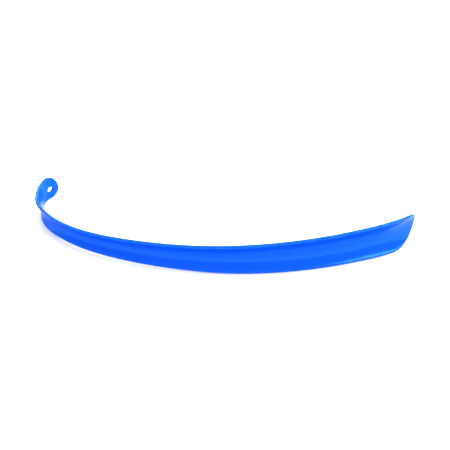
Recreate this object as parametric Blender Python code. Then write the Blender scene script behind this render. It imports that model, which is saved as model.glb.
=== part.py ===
"""Long shoehorn: one glossy plastic moulding, blade, shaft, curled hook and hanging tab in one.

It stands on its long lower edge, belly of the arc towards -Y, blade at +X, hook at -X.
"""

import math

import bmesh
import bpy
import numpy as np
from mathutils import Matrix, Vector

MM = 0.001

# Lengths in millimetres. "Run" is the distance along the strip's middle line from the blade tip.
RUN = 491.3
HOOK_START = 411.7

# (run, bend radius of the middle line there); the curvature changes evenly from one to the next.
BEND = (
    (0.0, 197.8),
    (25.9, 270.3),
    (84.9, 470.6),
    (191.1, 341.1),
    (297.8, 464.2),
    (411.7, 152.2),
    (428.3, 54.4),
    (448.6, 162.9),
    (466.9, 33.4),
    (481.1, 18.2),
    (491.3, 20.0),
)

# (run, full width across the strip, before the ends are rounded)
WIDTH = (
    (0.0, 44.1),
    (50.8, 41.1),
    (151.0, 36.0),
    (276.0, 28.5),
    (376.6, 24.2),
    (430.3, 25.6),
    (454.7, 23.5),
    (470.9, 24.9),
    (481.1, 27.7),
    (491.3, 29.2),
)

# (run, how far the two long edges stand forward of the middle of the strip)
TROUGH = (
    (0.0, 6.9),
    (25.9, 9.1),
    (75.2, 8.6),
    (251.1, 7.2),
    (402.5, 4.9),
    (454.7, 1.2),
    (475.0, 0.0),
    (491.3, 0.0),
)

# (run, wall thickness)
WALL = (
    (0.0, 2.0),
    (49.8, 3.0),
    (430.3, 3.0),
    (470.9, 2.5),
    (491.3, 2.5),
)
RIM_RADIUS = 1.2

# Rounded ends: length of the rounding, and how square its shoulders are (2 is an ellipse)
BLADE_ROUND, BLADE_POWER = 29.5, 2.1
TAB_ROUND, TAB_POWER = 14.3, 2.15

HOLE_LENGTH, HOLE_WIDTH = 7.7, 5.6
HOLE_TO_TAB_END = 11.4
HOLE_BELOW_MIDDLE = 2.1

# How the strip stands: its middle plane leans a little because the strip tapers.
LEAN_ABOUT_Y = -1.5891
LEAN_ABOUT_X = -0.1170
TURN_ABOUT_Z = 41.9

# Mesh rows and columns
ROWS_ROUND = 12
ROWS_SHAFT = 96
ROWS_HOOK = 40
COLUMNS = 9
RIM_STEPS = 2


def table(rows, run):
    """Value at each run, evenly graded between the listed rows."""
    xs, ys = np.array(rows, float).T
    return np.interp(run, xs, ys)


def flowing(rows, run):
    """Value at each run on a smooth curve through the listed rows."""
    xs, ys = np.array(rows, float).T
    slope = np.gradient(ys, xs)
    level = (ys[1:] == ys[:-1])
    slope[:-1][level] = 0.0
    slope[1:][level] = 0.0
    i = np.clip(np.searchsorted(xs, run) - 1, 0, len(xs) - 2)
    gap = xs[i + 1] - xs[i]
    t = (run - xs[i]) / gap
    a = (1 + 2 * t) * (1 - t) ** 2 * ys[i] + t * (1 - t) ** 2 * gap * slope[i]
    b = t * t * (3 - 2 * t) * ys[i + 1] + t * t * (t - 1) * gap * slope[i + 1]
    return a + b


def middle_line(samples=6001):
    """Run, position and heading along the middle line; it leaves the blade tip towards -X."""
    run = np.linspace(0.0, RUN, samples)
    bend = table([(r, 1.0 / radius) for r, radius in BEND], run)
    step = run[1] - run[0]
    turn = np.concatenate([[0.0], np.cumsum((bend[1:] + bend[:-1]) * step / 2)])
    hx, hy = -np.cos(turn), np.sin(turn)
    x = np.concatenate([[0.0], np.cumsum((hx[1:] + hx[:-1]) * step / 2)])
    y = np.concatenate([[0.0], np.cumsum((hy[1:] + hy[:-1]) * step / 2)])
    return run, x, y, hx, hy


def half_outline(rows_round, rows_shaft, rows_hook):
    """Upper half of the flattened strip's outline, blade tip to tab end, as (run, half width)."""
    a = np.linspace(0.0, math.pi / 2, rows_round + 1)
    blade = BLADE_ROUND * (1 - np.cos(a) ** (2 / BLADE_POWER))
    tab = RUN - TAB_ROUND * (1 - np.cos(a[::-1]) ** (2 / TAB_POWER))
    shaft = np.linspace(BLADE_ROUND, HOOK_START, rows_shaft + 1)[1:]
    hook = np.linspace(HOOK_START, RUN - TAB_ROUND, rows_hook + 1)[1:-1]
    run = np.concatenate([blade, shaft, hook, tab])
    half = flowing(WIDTH, run) / 2
    half[: rows_round + 1] *= np.sin(a) ** (2 / BLADE_POWER)
    half[-rows_round - 1 :] *= np.sin(a[::-1]) ** (2 / TAB_POWER)
    half[0] = half[-1] = 0.0
    return run, half


def inset(run, half, distance):
    """The outline moved inwards, square to itself."""
    full_run = np.concatenate([[run[1]], run, [run[-2]]])
    full_half = np.concatenate([[-half[1]], half, [-half[-2]]])
    dr = full_run[2:] - full_run[:-2]
    dh = full_half[2:] - full_half[:-2]
    size = np.hypot(dr, dh)
    moved_half = half - distance * dr / size
    moved_half[0] = moved_half[-1] = 0.0
    return run + distance * dh / size, moved_half


def seat(points, line, run, across, out):
    """Adds points of the bent strip: run along it, across it, and out from its middle surface."""
    rows, x, y, hx, hy = line
    px, py = np.interp(run, rows, x), np.interp(run, rows, y)
    nx, ny = -np.interp(run, rows, hy), np.interp(run, rows, hx)
    size = np.hypot(nx, ny)
    half = flowing(WIDTH, run) / 2
    trough = flowing(TROUGH, run)
    lift = trough * (across / half) ** 2
    slope = 2 * trough * across / half**2
    tilt = np.sqrt(1 + slope**2)
    forward = lift + out / tilt
    up = across - out * slope / tilt
    start = len(points)
    points.extend(zip(px + nx / size * forward, py + ny / size * forward, up))
    return start


def strip(rows_round, rows_shaft, rows_hook, columns, rim_steps):
    """Vertices in millimetres and faces of the closed strip, before the hole is made."""
    line = middle_line()
    run, half = half_outline(rows_round, rows_shaft, rows_hook)
    n = len(run)
    wall = flowing(WALL, run)
    trough = flowing(TROUGH, run)
    radius = np.minimum(RIM_RADIUS, 0.4 * wall)
    points, faces = [], []

    def face_side(side):
        """Grid over one broad face; returns the index of each outline point."""
        r, h = inset(run, half, radius)
        grid = np.zeros((n, columns), int)
        spread = np.linspace(-1.0, 1.0, columns)
        for i in range(1, n - 1):
            start = seat(points, line, np.full(columns, r[i]), spread * h[i], side * np.full(columns, wall[i] / 2))
            grid[i] = np.arange(start, start + columns)
        for i in (0, n - 1):
            grid[i] = seat(points, line, r[i : i + 1], h[i : i + 1], side * wall[i : i + 1] / 2)
        for i in range(n - 1):
            if trough[i] == trough[i + 1] == 0.0 and wall[i] == wall[i + 1]:
                ring = [*grid[i], *grid[i + 1, ::-1]] if i < n - 2 else [*grid[i], grid[i + 1, 0]]
                faces.append(ring if side > 0 else ring[::-1])
                continue
            for j in range(columns - 1):
                quad = [grid[i, j], grid[i, j + 1], grid[i + 1, j + 1], grid[i + 1, j]]
                quad = [v for k, v in enumerate(quad) if v not in quad[:k]]
                faces.append(quad if side > 0 else quad[::-1])
        return np.concatenate([grid[: n - 1, -1], [grid[n - 1, 0]], grid[n - 2 : 0 : -1, 0]])

    def rim_loop(distance, out):
        r, h = inset(run, half, distance)
        lower = slice(n - 2, 0, -1)
        start = seat(
            points, line,
            np.concatenate([r, r[lower]]),
            np.concatenate([h, -h[lower]]),
            np.concatenate([out, out[lower]]),
        )
        return np.arange(start, start + 2 * n - 2)

    loops = [face_side(+1)]
    angles = [math.pi / 2 * k / rim_steps for k in range(1, rim_steps + 1)]
    for a in angles:
        loops.append(rim_loop(radius * (1 - math.sin(a)), wall / 2 - radius * (1 - math.cos(a))))
    for a in reversed(angles):
        loops.append(rim_loop(radius * (1 - math.sin(a)), radius * (1 - math.cos(a)) - wall / 2))
    loops.append(face_side(-1))
    count = 2 * n - 2
    for upper, lower in zip(loops, loops[1:]):
        for k in range(count):
            m = (k + 1) % count
            faces.append([lower[k], lower[m], upper[m], upper[k]])
    return np.array(points), faces


def standing():
    """Turns the strip from its own axes to the way it stands."""
    lean = Matrix.Rotation(math.radians(LEAN_ABOUT_X), 4, "X") @ Matrix.Rotation(math.radians(LEAN_ABOUT_Y), 4, "Y")
    return Matrix.Rotation(math.radians(TURN_ABOUT_Z), 4, "Z") @ lean


def material(name, colour):
    mat = bpy.data.materials.new(name)
    mat.use_nodes = True
    mat.diffuse_color = (*colour, 1.0)
    shader = mat.node_tree.nodes["Principled BSDF"]
    shader.inputs["Base Color"].default_value = (*colour, 1.0)
    shader.inputs["Roughness"].default_value = 0.15
    return mat


def main():
    for old in list(bpy.data.objects):
        bpy.data.objects.remove(old, do_unlink=True)

    points, faces = strip(ROWS_ROUND, ROWS_SHAFT, ROWS_HOOK, COLUMNS, RIM_STEPS)
    mesh = bpy.data.meshes.new("shoehorn")
    mesh.from_pydata([tuple(p * MM) for p in points], [], [list(map(int, f)) for f in faces])
    body = bpy.data.objects.new("shoehorn", mesh)
    bpy.context.scene.collection.objects.link(body)
    mesh.materials.append(material("shoehorn_plastic", (0.004, 0.16, 0.95)))

    # Hanging hole: a slot along the tab, cut square to it a little below its middle
    rows, x, y, hx, hy = middle_line()
    at = RUN - HOLE_TO_TAB_END
    centre = Vector((np.interp(at, rows, x), np.interp(at, rows, y), -HOLE_BELOW_MIDDLE))
    along = Vector((np.interp(at, rows, hx), np.interp(at, rows, hy), 0.0)).normalized()
    outward = Vector((-along.y, along.x, 0.0))
    down = Vector((0.0, 0.0, -1.0))
    bpy.ops.mesh.primitive_cylinder_add(vertices=40, radius=0.5, depth=1.0)
    cutter = bpy.context.object
    cutter.name = "hole_cutter"
    shape = Matrix((along * HOLE_LENGTH * MM, down * HOLE_WIDTH * MM, outward * 10 * MM)).transposed().to_4x4()
    cutter.matrix_world = Matrix.Translation(centre * MM) @ shape
    cutter.hide_render = True
    cutter.display_type = "WIRE"
    cut = body.modifiers.new("hanging_hole", "BOOLEAN")
    cut.operation = "DIFFERENCE"
    cut.solver = "EXACT"
    cut.object = cutter

    bpy.context.view_layer.update()
    turned = standing()
    corners = np.array([turned @ (Vector(p) * MM) for p in points])
    low, high = corners.min(0), corners.max(0)
    drop = Matrix.Translation((-(low[0] + high[0]) / 2, -(low[1] + high[1]) / 2, -low[2]))
    for obj in (body, cutter):
        obj.matrix_world = drop @ turned @ obj.matrix_world
    for polygon in mesh.polygons:
        polygon.use_smooth = True


main()
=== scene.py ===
"""Long shoehorn: one glossy blue moulding standing on its long lower edge, on a pale floor."""

import math

import bmesh
import bpy
import numpy as np
from mathutils import Matrix, Vector


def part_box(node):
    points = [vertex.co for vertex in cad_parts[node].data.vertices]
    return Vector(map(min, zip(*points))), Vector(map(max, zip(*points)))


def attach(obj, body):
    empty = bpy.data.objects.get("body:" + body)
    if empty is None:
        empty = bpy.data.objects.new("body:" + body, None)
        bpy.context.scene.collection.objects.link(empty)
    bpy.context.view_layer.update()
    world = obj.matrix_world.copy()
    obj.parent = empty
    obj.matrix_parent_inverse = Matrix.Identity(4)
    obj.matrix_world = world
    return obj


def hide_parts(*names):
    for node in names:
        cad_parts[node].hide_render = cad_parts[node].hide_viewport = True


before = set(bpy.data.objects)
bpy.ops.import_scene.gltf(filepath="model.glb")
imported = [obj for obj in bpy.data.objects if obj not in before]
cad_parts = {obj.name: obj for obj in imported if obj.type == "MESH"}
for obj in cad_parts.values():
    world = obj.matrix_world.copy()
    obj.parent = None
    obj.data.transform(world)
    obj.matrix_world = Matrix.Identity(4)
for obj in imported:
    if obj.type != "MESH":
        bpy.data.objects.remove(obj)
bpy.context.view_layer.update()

MM = 0.001

# The moulding. Lengths are in millimetres.
# "Run" is the distance along the strip's middle line from the blade tip.
RUN = 491.3
HOOK_START = 411.7

# (run, bend radius of the middle line there)
BEND = (
    (0.0, 197.8),
    (25.9, 270.3),
    (84.9, 470.6),
    (191.1, 341.1),
    (297.8, 464.2),
    (411.7, 152.2),
    (428.3, 54.4),
    (448.6, 162.9),
    (466.9, 33.4),
    (481.1, 18.2),
    (491.3, 20.0),
)

# (run, full width across the strip, before the ends are rounded)
WIDTH = (
    (0.0, 44.1),
    (50.8, 41.1),
    (151.0, 36.0),
    (276.0, 28.5),
    (376.6, 24.2),
    (430.3, 25.6),
    (454.7, 23.5),
    (470.9, 24.9),
    (481.1, 27.7),
    (491.3, 29.2),
)

# (run, how far the two long edges stand forward of the middle of the strip)
TROUGH = (
    (0.0, 6.9),
    (25.9, 9.1),
    (75.2, 8.6),
    (251.1, 7.2),
    (402.5, 4.9),
    (454.7, 1.2),
    (475.0, 0.0),
    (491.3, 0.0),
)

# (run, wall thickness)
WALL = (
    (0.0, 2.0),
    (49.8, 3.0),
    (430.3, 3.0),
    (470.9, 2.5),
    (491.3, 2.5),
)
RIM_RADIUS = 1.2
RIM_SHARE = 0.4  # of the wall, at most

# Rounded ends: length of the rounding, and how square its shoulders are (2 is an ellipse)
BLADE_ROUND, BLADE_POWER = 29.5, 2.1
TAB_ROUND, TAB_POWER = 14.3, 2.15

# The hanging slot, and the small rounding of its edges
HOLE_LENGTH, HOLE_WIDTH = 7.7, 5.6
HOLE_TO_TAB_END = 11.4
HOLE_BELOW_MIDDLE = 2.1
HOLE_EDGE = 0.12

# How the strip stands: it leans until its long lower edge rests on the floor (degrees)
LEAN_ABOUT_Y = -1.5891
LEAN_ABOUT_X = -0.1170
TURN_ABOUT_Z = 41.9

# (run, height): a slight lip borders the trough, and fades out before the hook
LIP = (
    (0.0, 0.26),
    (300.0, 0.26),
    (390.0, 0.0),
    (RUN, 0.0),
)
LIP_WIDTH = 1.5
LIP_SHARE, LIP_SHARE_INSIDE_RIM = 0.3, 0.4  # of the half width, at most

# How far in from the rim the painted rim glow and the duller gloss reach
GLOW_AND_DULL_WIDTH = 2.2

# The mould's parting line: a fine raised line round the middle of the rim
PARTING_HEIGHT = 0.05
PARTING_WIDTH = 0.14

# Fineness of the mesh: rows along each rounded end, the shaft and the hook,
# columns across, and steps round an edge
ROWS_ROUND, ROWS_SHAFT, ROWS_HOOK = 28, 300, 130
COLUMNS, LIP_COLUMNS = 25, 5
RIM_STEPS, HOLE_EDGE_STEPS, HOLE_SIDES = 5, 8, 96

# Plastic, coloured in the mass: two close blues, and a paler blue painted near the rims as a rim glow
BLUE_DEEP = (0.001, 0.060, 0.74, 1.0)
BLUE_LIGHT = (0.001, 0.070, 0.80, 1.0)
BLUE_PAINTED_RIM_GLOW = (0.012, 0.110, 0.84, 1.0)
# Reflections stay blue and weak at a glancing angle: a low level, made up square on by the tint
GLOSS_LEVEL = 0.02
GLOSS_TINT = (4.0, 25.5, 25.5, 1.0)
TEXTURE_SCALE = 0.01  # texture units per millimetre along and across the strip

# Studio: floor half-side in metres, and the strengths of the lights
FLOOR_REACH = 14.0
FLOOR_GREY = 0.96
RIGHT_POWER, BEHIND_POWER = 14.0, 38.0
KEY_STRENGTH, KEY_SOFTNESS = 3.9, 100.0
SURROUND = 0.9

# Camera, in millimetres for the lens, degrees and metres
LENS = 32.917
AZIMUTH, ELEVATION, ROLL = 10.889, 36.427, -0.170
CAMERA_AT = (0.08374, -0.33642, 0.27373)


def table(rows, run):
    """Value at each run, evenly graded between the listed rows."""
    xs, ys = np.array(rows, float).T
    return np.interp(run, xs, ys)


def flowing(rows, run):
    """Value at each run on a smooth curve through the listed rows."""
    xs, ys = np.array(rows, float).T
    slope = np.gradient(ys, xs)
    level = (ys[1:] == ys[:-1])
    slope[:-1][level] = 0.0
    slope[1:][level] = 0.0
    i = np.clip(np.searchsorted(xs, run) - 1, 0, len(xs) - 2)
    gap = xs[i + 1] - xs[i]
    t = (run - xs[i]) / gap
    a = (1 + 2 * t) * (1 - t) ** 2 * ys[i] + t * (1 - t) ** 2 * gap * slope[i]
    b = t * t * (3 - 2 * t) * ys[i + 1] + t * t * (t - 1) * gap * slope[i + 1]
    return a + b


def middle_line(samples=12001):
    """Run, position and heading along the middle line; it leaves the blade tip towards -X."""
    run = np.linspace(0.0, RUN, samples)
    bend = table([(r, 1.0 / radius) for r, radius in BEND], run)
    step = run[1] - run[0]
    turn = np.concatenate([[0.0], np.cumsum((bend[1:] + bend[:-1]) * step / 2)])
    hx, hy = -np.cos(turn), np.sin(turn)
    x = np.concatenate([[0.0], np.cumsum((hx[1:] + hx[:-1]) * step / 2)])
    y = np.concatenate([[0.0], np.cumsum((hy[1:] + hy[:-1]) * step / 2)])
    return run, x, y, hx, hy


def half_outline():
    """Upper half of the flattened strip's outline, blade tip to tab end, as (run, half width)."""
    a = np.linspace(0.0, math.pi / 2, ROWS_ROUND + 1)
    blade = BLADE_ROUND * (1 - np.cos(a) ** (2 / BLADE_POWER))
    tab = RUN - TAB_ROUND * (1 - np.cos(a[::-1]) ** (2 / TAB_POWER))
    shaft = np.linspace(BLADE_ROUND, HOOK_START, ROWS_SHAFT + 1)[1:]
    hook = np.linspace(HOOK_START, RUN - TAB_ROUND, ROWS_HOOK + 1)[1:-1]
    run = np.concatenate([blade, shaft, hook, tab])
    half = flowing(WIDTH, run) / 2
    half[: ROWS_ROUND + 1] *= np.sin(a) ** (2 / BLADE_POWER)
    half[-ROWS_ROUND - 1 :] *= np.sin(a[::-1]) ** (2 / TAB_POWER)
    half[0] = half[-1] = 0.0
    return run, half


def inset(run, half, distance):
    """The outline moved inwards, square to itself."""
    full_run = np.concatenate([[run[1]], run, [run[-2]]])
    full_half = np.concatenate([[-half[1]], half, [-half[-2]]])
    dr = full_run[2:] - full_run[:-2]
    dh = full_half[2:] - full_half[:-2]
    size = np.hypot(dr, dh)
    moved_half = half - distance * dr / size
    moved_half[0] = moved_half[-1] = 0.0
    return run + distance * dh / size, moved_half


class Strip:
    """The closed strip: its vertices and faces, and each vertex's place on it."""

    def __init__(self):
        self.line = middle_line()
        self.points, self.place, self.worn, self.faces = [], [], [], []
        self.run, self.half = half_outline()
        self.wall = flowing(WALL, self.run)
        self.radius = np.minimum(RIM_RADIUS, RIM_SHARE * self.wall)
        self.lip_width = np.minimum(LIP_WIDTH, LIP_SHARE * self.half)
        self.lip = table(LIP, self.run) * self.lip_width / LIP_WIDTH
        self.close()

    def seat(self, run, across, out, worn=1.0):
        """Adds points: run along the strip, across it, and out from its middle surface."""
        rows, x, y, hx, hy = self.line
        px, py = np.interp(run, rows, x), np.interp(run, rows, y)
        nx, ny = -np.interp(run, rows, hy), np.interp(run, rows, hx)
        size = np.hypot(nx, ny)
        half = flowing(WIDTH, run) / 2
        trough = flowing(TROUGH, run)
        slope = 2 * trough * across / half**2
        tilt = np.sqrt(1 + slope**2)
        forward = trough * (across / half) ** 2 + out / tilt
        up = across - out * slope / tilt
        start = len(self.points)
        self.points.extend(zip(px + nx / size * forward, py + ny / size * forward, up))
        self.place.extend(zip(run, across))
        # share of painted rim glow and duller gloss; points on the rim get it in full
        self.worn.extend(np.broadcast_to(worn, run.shape))
        return start

    def seat_row(self, i, run, half, side):
        """One row of a broad face; the trough side (+1) rises to the lip near both edges."""
        rise = np.linspace(0.0, 1.0, LIP_COLUMNS + 1)
        swell = rise * rise * (3 - 2 * rise)
        columns = COLUMNS + 2 * LIP_COLUMNS
        width = min(self.lip_width[i], LIP_SHARE_INSIDE_RIM * half)
        edge = half - width * (1 - rise[1:])
        middle = np.linspace(width - half, half - width, COLUMNS)
        out = np.full(columns, self.wall[i] / 2)
        if side > 0:
            out[-LIP_COLUMNS:] += self.lip[i] * swell[1:]
            out[:LIP_COLUMNS] += self.lip[i] * swell[:0:-1]
        across = np.concatenate([-edge[::-1], middle, edge])
        # share of painted rim glow and duller gloss: full at the rim, none further in than its width
        worn = np.clip(1.0 - (half - np.abs(across)) / GLOW_AND_DULL_WIDTH, 0.0, 1.0)
        start = self.seat(np.full(columns, run), across, side * out, worn)
        return np.arange(start, start + columns)

    def face_side(self, side):
        """Grid over one broad face; returns the index of each outline point."""
        last = len(self.run) - 1
        r, h = inset(self.run, self.half, self.radius)
        columns = COLUMNS + 2 * LIP_COLUMNS
        grid = np.zeros((last + 1, columns), int)
        for i in range(1, last):
            grid[i] = self.seat_row(i, r[i], h[i], side)
        for i in (0, last):
            grid[i] = self.seat(r[i : i + 1], h[i : i + 1], side * self.wall[i : i + 1] / 2)
        for i in range(last):
            for j in range(columns - 1):
                quad = [grid[i, j], grid[i, j + 1], grid[i + 1, j + 1], grid[i + 1, j]]
                quad = [v for k, v in enumerate(quad) if v not in quad[:k]]
                self.faces.append(quad if side > 0 else quad[::-1])
        return np.concatenate([grid[:last, -1], [grid[last, 0]], grid[last - 1 : 0 : -1, 0]])

    def rim_loop(self, distance, out):
        """A loop of points round the whole outline, moved inwards by distance."""
        r, h = inset(self.run, self.half, distance)
        lower = slice(len(self.run) - 2, 0, -1)
        out = np.broadcast_to(out, self.run.shape)
        start = self.seat(
            np.concatenate([r, r[lower]]),
            np.concatenate([h, -h[lower]]),
            np.concatenate([out, out[lower]]),
        )
        return np.arange(start, start + 2 * len(self.run) - 2)

    def close(self):
        """Joins the two broad faces round the rim, with its rounded corners and parting line."""
        radius, wall, lip = self.radius, self.wall, self.lip
        angles = [math.pi / 2 * k / RIM_STEPS for k in range(1, RIM_STEPS + 1)]
        loops = [self.face_side(+1)]
        for a in angles:
            out = wall / 2 + lip - radius * (1 - math.cos(a))
            loops.append(self.rim_loop(radius * (1 - math.sin(a)), out))
        for distance, out in ((0, 1), (-PARTING_HEIGHT, 0.4), (-PARTING_HEIGHT, -0.4), (0, -1)):
            loops.append(self.rim_loop(distance, out * PARTING_WIDTH))
        for a in reversed(angles):
            out = radius * (1 - math.cos(a)) - wall / 2
            loops.append(self.rim_loop(radius * (1 - math.sin(a)), out))
        loops.append(self.face_side(-1))
        for upper, lower in zip(loops, loops[1:]):
            for k in range(len(upper)):
                m = (k + 1) % len(upper)
                self.faces.append([lower[k], lower[m], upper[m], upper[k]])


def add(name, data):
    """A new object in the scene."""
    made = bpy.data.objects.new(name, data)
    bpy.context.scene.collection.objects.link(made)
    return made


def standing():
    """Turns the strip from its own axes to the way it stands."""
    lean_x = Matrix.Rotation(math.radians(LEAN_ABOUT_X), 4, "X")
    lean_y = Matrix.Rotation(math.radians(LEAN_ABOUT_Y), 4, "Y")
    return Matrix.Rotation(math.radians(TURN_ABOUT_Z), 4, "Z") @ (lean_x @ lean_y)


def hole_profile():
    """(flare, height) along the cutter: straight through the wall, opening out at both faces."""
    reach = float(flowing(WALL, np.array([RUN - HOLE_TO_TAB_END]))[0]) / 2
    profile = []
    for k in range(HOLE_EDGE_STEPS + 1):
        a = math.pi / 2 * k / HOLE_EDGE_STEPS
        profile.append((HOLE_EDGE * (1 - math.cos(a)), reach - HOLE_EDGE + HOLE_EDGE * math.sin(a)))
    profile.append((HOLE_EDGE * 2.2, reach + HOLE_EDGE * 0.6))
    profile.append((HOLE_EDGE * 2.2, reach + 4.0))
    return [(e, -z) for e, z in reversed(profile)] + [(0.0, 0.0)] + profile


def hole_cutter(line):
    """A slot-shaped cutter bent to follow the tab, so that both edges come out evenly rounded."""
    rows, x, y, hx, hy = line
    at = RUN - HOLE_TO_TAB_END
    cx, cy = np.interp(at, rows, x), np.interp(at, rows, y)
    along = Vector((np.interp(at, rows, hx), np.interp(at, rows, hy), 0.0)).normalized()
    outward = Vector((-along.y, along.x, 0.0))
    near = (rows > at - 8.0) & (rows < at + 8.0)
    bow_u = (x[near] - cx) * along.x + (y[near] - cy) * along.y
    bow_w = (x[near] - cx) * outward.x + (y[near] - cy) * outward.y
    bm = bmesh.new()
    rings = []
    for e, z in hole_profile():
        ring = []
        for k in range(HOLE_SIDES):
            a = 2 * math.pi * k / HOLE_SIDES
            u = (HOLE_LENGTH / 2 + e) * math.cos(a)
            v = (HOLE_WIDTH / 2 + e) * math.sin(a)
            w = z + float(np.interp(u, bow_u, bow_w))
            spot = Vector((cx, cy, -HOLE_BELOW_MIDDLE - v)) + along * u + outward * w
            ring.append(bm.verts.new(spot * MM))
        rings.append(ring)
    for low, high in zip(rings, rings[1:]):
        for k in range(HOLE_SIDES):
            m = (k + 1) % HOLE_SIDES
            bm.faces.new((low[k], low[m], high[m], high[k]))
    bm.faces.new(rings[0][::-1])
    bm.faces.new(rings[-1])
    mesh = bpy.data.meshes.new("hole_cutter")
    bm.to_mesh(mesh)
    bm.free()
    return add("hole_cutter", mesh)


def strip_mesh(strip):
    """The strip as a mesh, with its place, and its share of painted rim glow and duller gloss, as two
    texture layers.
    """
    mesh = bpy.data.meshes.new("shoehorn_moulding")
    points = [tuple(np.array(p) * MM) for p in strip.points]
    mesh.from_pydata(points, [], [list(map(int, f)) for f in strip.faces])
    corner = np.zeros(len(mesh.loops), int)
    mesh.loops.foreach_get("vertex_index", corner)
    place = mesh.uv_layers.new(name="strip")
    uv = np.array(strip.place)[corner] * TEXTURE_SCALE
    place.data.foreach_set("uv", uv.astype(np.float32).ravel())
    # edge layer: share of painted rim glow and duller gloss
    edge = mesh.uv_layers.new(name="edge")
    worn = np.array(strip.worn)[corner]
    edge.data.foreach_set("uv", np.stack([worn, worn], axis=1).astype(np.float32).ravel())
    return mesh


def settle(mesh):
    """Stands the mesh the way the shoehorn stands, in the middle of the CAD part's box."""
    mesh.transform(standing())
    low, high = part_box("shoehorn")
    co = np.zeros(len(mesh.vertices) * 3)
    mesh.vertices.foreach_get("co", co)
    co = co.reshape(-1, 3)
    shift = (np.array(low) + np.array(high)) / 2 - (co.min(0) + co.max(0)) / 2
    shift[2] = low[2] - co[:, 2].min()
    mesh.transform(Matrix.Translation(Vector(shift)))


def moulding():
    """The fine visual mesh of the whole shoehorn, with its slot cut."""
    strip = Strip()
    rough = add("shoehorn_rough", strip_mesh(strip))
    cutter = hole_cutter(strip.line)
    cut = rough.modifiers.new("hanging_hole", "BOOLEAN")
    cut.operation = "DIFFERENCE"
    cut.solver = "EXACT"
    cut.object = cutter
    bpy.context.view_layer.update()
    finished = bpy.data.meshes.new_from_object(rough.evaluated_get(bpy.context.evaluated_depsgraph_get()))
    finished.name = "shoehorn_moulding"
    for spare in (rough, cutter):
        bpy.data.objects.remove(spare, do_unlink=True)
    settle(finished)
    for polygon in finished.polygons:
        polygon.use_smooth = True
    return add("shoehorn_moulding", finished)


def node(tree, kind, x, y, inputs=None, **settings):
    """A shader node with its own settings, then its input values."""
    made = tree.nodes.new(kind)
    made.location = (x, y)
    for name, value in settings.items():
        setattr(made, name, value)
    for name, value in (inputs or {}).items():
        made.inputs[name].default_value = value
    return made


def noise(tree, x, y, scale, detail, roughness=0.5):
    values = {"Scale": scale, "Detail": detail, "Roughness": roughness}
    return node(tree, "ShaderNodeTexNoise", x, y, values)


def pigment(tree, place):
    """Slow drift of colour, as pigment streaks lie along the flow of the melt."""
    link = tree.links.new
    along = node(tree, "ShaderNodeMapping", -1200, 200, {"Scale": (1.0, 4.0, 1.0)})
    link(place.outputs["UV"], along.inputs["Vector"])
    drift = noise(tree, -1000, 200, 1.6, 3.0)
    link(along.outputs["Vector"], drift.inputs["Vector"])
    blues = {"A": BLUE_DEEP, "B": BLUE_LIGHT}
    colour = node(tree, "ShaderNodeMix", -700, 300, blues, data_type="RGBA")
    link(drift.outputs["Fac"], colour.inputs["Factor"])
    return colour


def glow_and_dull_patches(tree, place):
    """Where the painted rim glow and the duller gloss go: patches near the long edges and ends, none
    inside.
    """
    link = tree.links.new
    edge = node(tree, "ShaderNodeUVMap", -1400, 600, uv_map="edge")
    near = node(tree, "ShaderNodeSeparateXYZ", -1200, 600)
    link(edge.outputs["UV"], near.inputs["Vector"])
    patches = noise(tree, -1000, 500, 14.0, 5.0, 0.65)
    link(place.outputs["UV"], patches.inputs["Vector"])
    span = {"From Min": 0.40, "From Max": 0.68, "To Max": 0.7}
    sparse = node(tree, "ShaderNodeMapRange", -800, 500, span)
    link(patches.outputs["Fac"], sparse.inputs["Value"])
    glow_and_dull_mask = node(tree, "ShaderNodeMath", -600, 600, operation="MULTIPLY")
    link(near.outputs["X"], glow_and_dull_mask.inputs[0])
    link(sparse.outputs["Result"], glow_and_dull_mask.inputs[1])
    return glow_and_dull_mask


def scuffs(tree, place):
    """Roughness with fine handling scuffs that run mostly lengthwise."""
    link = tree.links.new
    stretch = {"Scale": (2.0, 60.0, 1.0), "Rotation": (0.0, 0.0, 0.04)}
    scuff_map = node(tree, "ShaderNodeMapping", -1200, -100, stretch)
    link(place.outputs["UV"], scuff_map.inputs["Vector"])
    scuff = noise(tree, -1000, -100, 3.0, 6.0, 0.7)
    link(scuff_map.outputs["Vector"], scuff.inputs["Vector"])
    span = {"From Min": 0.35, "From Max": 0.75, "To Min": 0.13, "To Max": 0.22}
    rough = node(tree, "ShaderNodeMapRange", -700, -100, span)
    link(scuff.outputs["Fac"], rough.inputs["Value"])
    return rough


def moulded_skin(tree):
    """Surface relief: a faint ripple, and over it a very fine grain."""
    link = tree.links.new
    solid = node(tree, "ShaderNodeTexCoord", -1400, -500)
    ripple = noise(tree, -1000, -400, 45.0, 1.0)
    grain = noise(tree, -1000, -700, 1400.0, 2.0)
    soft = node(tree, "ShaderNodeBump", -500, -400, {"Strength": 0.25, "Distance": 0.0003})
    fine = node(tree, "ShaderNodeBump", -300, -400, {"Strength": 0.12, "Distance": 0.00004})
    for texture, bump in ((ripple, soft), (grain, fine)):
        link(solid.outputs["Object"], texture.inputs["Vector"])
        link(texture.outputs["Fac"], bump.inputs["Height"])
    link(soft.outputs["Normal"], fine.inputs["Normal"])
    return fine


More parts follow.
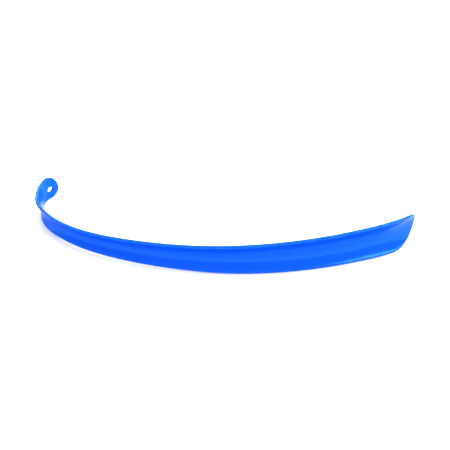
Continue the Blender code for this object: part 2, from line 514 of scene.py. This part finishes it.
def blue_plastic():
    """Glossy injection-moulded plastic, coloured in the mass."""
    mat = bpy.data.materials.new("blue_gloss_plastic")
    mat.use_nodes = True
    tree = mat.node_tree
    link = tree.links.new
    shader = tree.nodes["Principled BSDF"]
    shader.inputs["IOR"].default_value = 1.49
    shader.inputs["Specular IOR Level"].default_value = GLOSS_LEVEL
    shader.inputs["Specular Tint"].default_value = GLOSS_TINT
    place = node(tree, "ShaderNodeUVMap", -1400, 0, uv_map="strip")
    glow_and_dull_mask = glow_and_dull_patches(tree, place)

    # painted rim glow: spots near the rims are a shade paler, and duller, than the rest
    rim_glow_mix = node(tree, "ShaderNodeMix", -400, 400, {"B": BLUE_PAINTED_RIM_GLOW}, data_type="RGBA")
    link(glow_and_dull_mask.outputs["Value"], rim_glow_mix.inputs["Factor"])
    link(pigment(tree, place).outputs["Result"], rim_glow_mix.inputs["A"])
    link(rim_glow_mix.outputs["Result"], shader.inputs["Base Color"])
    dull = node(tree, "ShaderNodeMath", -400, -100, operation="MULTIPLY_ADD")
    dull.inputs[1].default_value = 0.14
    link(glow_and_dull_mask.outputs["Value"], dull.inputs[0])
    link(scuffs(tree, place).outputs["Result"], dull.inputs[2])
    link(dull.outputs["Value"], shader.inputs["Roughness"])

    link(moulded_skin(tree).outputs["Normal"], shader.inputs["Normal"])
    return mat


def pale_floor():
    mesh = bpy.data.meshes.new("floor")
    side = FLOOR_REACH
    corners = [(-side, -side, 0), (side, -side, 0), (side, side, 0), (-side, side, 0)]
    mesh.from_pydata(corners, [], [(0, 1, 2, 3)])
    floor = add("floor", mesh)
    mat = bpy.data.materials.new("pale_floor")
    mat.use_nodes = True
    shader = mat.node_tree.nodes["Principled BSDF"]
    shader.inputs["Base Color"].default_value = (FLOOR_GREY, FLOOR_GREY, FLOOR_GREY, 1.0)
    shader.inputs["Roughness"].default_value = 0.9
    shader.inputs["Specular IOR Level"].default_value = 0.1
    mesh.materials.append(mat)


def softbox(name, at, aim, size, power):
    """A rectangular lamp; places and sizes in metres, power in watts."""
    data = bpy.data.lights.new(name, "AREA")
    data.shape = "RECTANGLE"
    data.size, data.size_y = size
    data.energy = power
    lamp = add(name, data)
    lamp.location = at
    lamp.rotation_euler = (Vector(aim) - Vector(at)).to_track_quat("-Z", "Y").to_euler()


def soft_key(towards):
    """A broad, very soft light from above, even over the whole floor."""
    data = bpy.data.lights.new("key", "SUN")
    data.energy = KEY_STRENGTH
    data.angle = math.radians(KEY_SOFTNESS)
    add("key", data).rotation_euler = Vector(towards).to_track_quat("-Z", "Y").to_euler()


def surround():
    world = bpy.data.worlds.new("surround")
    bpy.context.scene.world = world
    world.use_nodes = True
    back = world.node_tree.nodes["Background"]
    back.inputs["Color"].default_value = (1.0, 1.0, 1.0, 1.0)
    back.inputs["Strength"].default_value = SURROUND


def studio():
    """Pale floor, soft lights and a pale surround; the key comes from behind and to the right."""
    pale_floor()
    softbox("right_side", (1.5, -0.3, 1.0), (0.1, 0.0, 0.0), (1.0, 0.7), RIGHT_POWER)
    softbox("behind", (-0.1, 1.6, 1.0), (0.0, 0.0, 0.0), (2.4, 0.5), BEHIND_POWER)
    soft_key((-0.30, -0.50, -0.82))
    surround()


def camera():
    """The photograph's viewpoint: close, from above, with a moderately wide lens."""
    data = bpy.data.cameras.new("camera")
    data.sensor_width = 36.0
    data.lens = LENS
    data.clip_start = 0.01
    cam = add("camera", data)
    azimuth, elevation = math.radians(AZIMUTH), math.radians(ELEVATION)
    level = math.cos(elevation)
    ahead = Vector((-math.sin(azimuth) * level, math.cos(azimuth) * level, -math.sin(elevation)))
    roll = Matrix.Rotation(math.radians(ROLL), 4, "Z")
    turn = ahead.to_track_quat("-Z", "Y").to_matrix().to_4x4() @ roll
    cam.matrix_world = Matrix.Translation(CAMERA_AT) @ turn
    bpy.context.scene.camera = cam


piece = moulding()
piece.data.materials.clear()
piece.data.materials.append(blue_plastic())
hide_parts("shoehorn")
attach(piece, "root")

studio()
camera()
bpy.context.scene.view_settings.view_transform = "Standard"
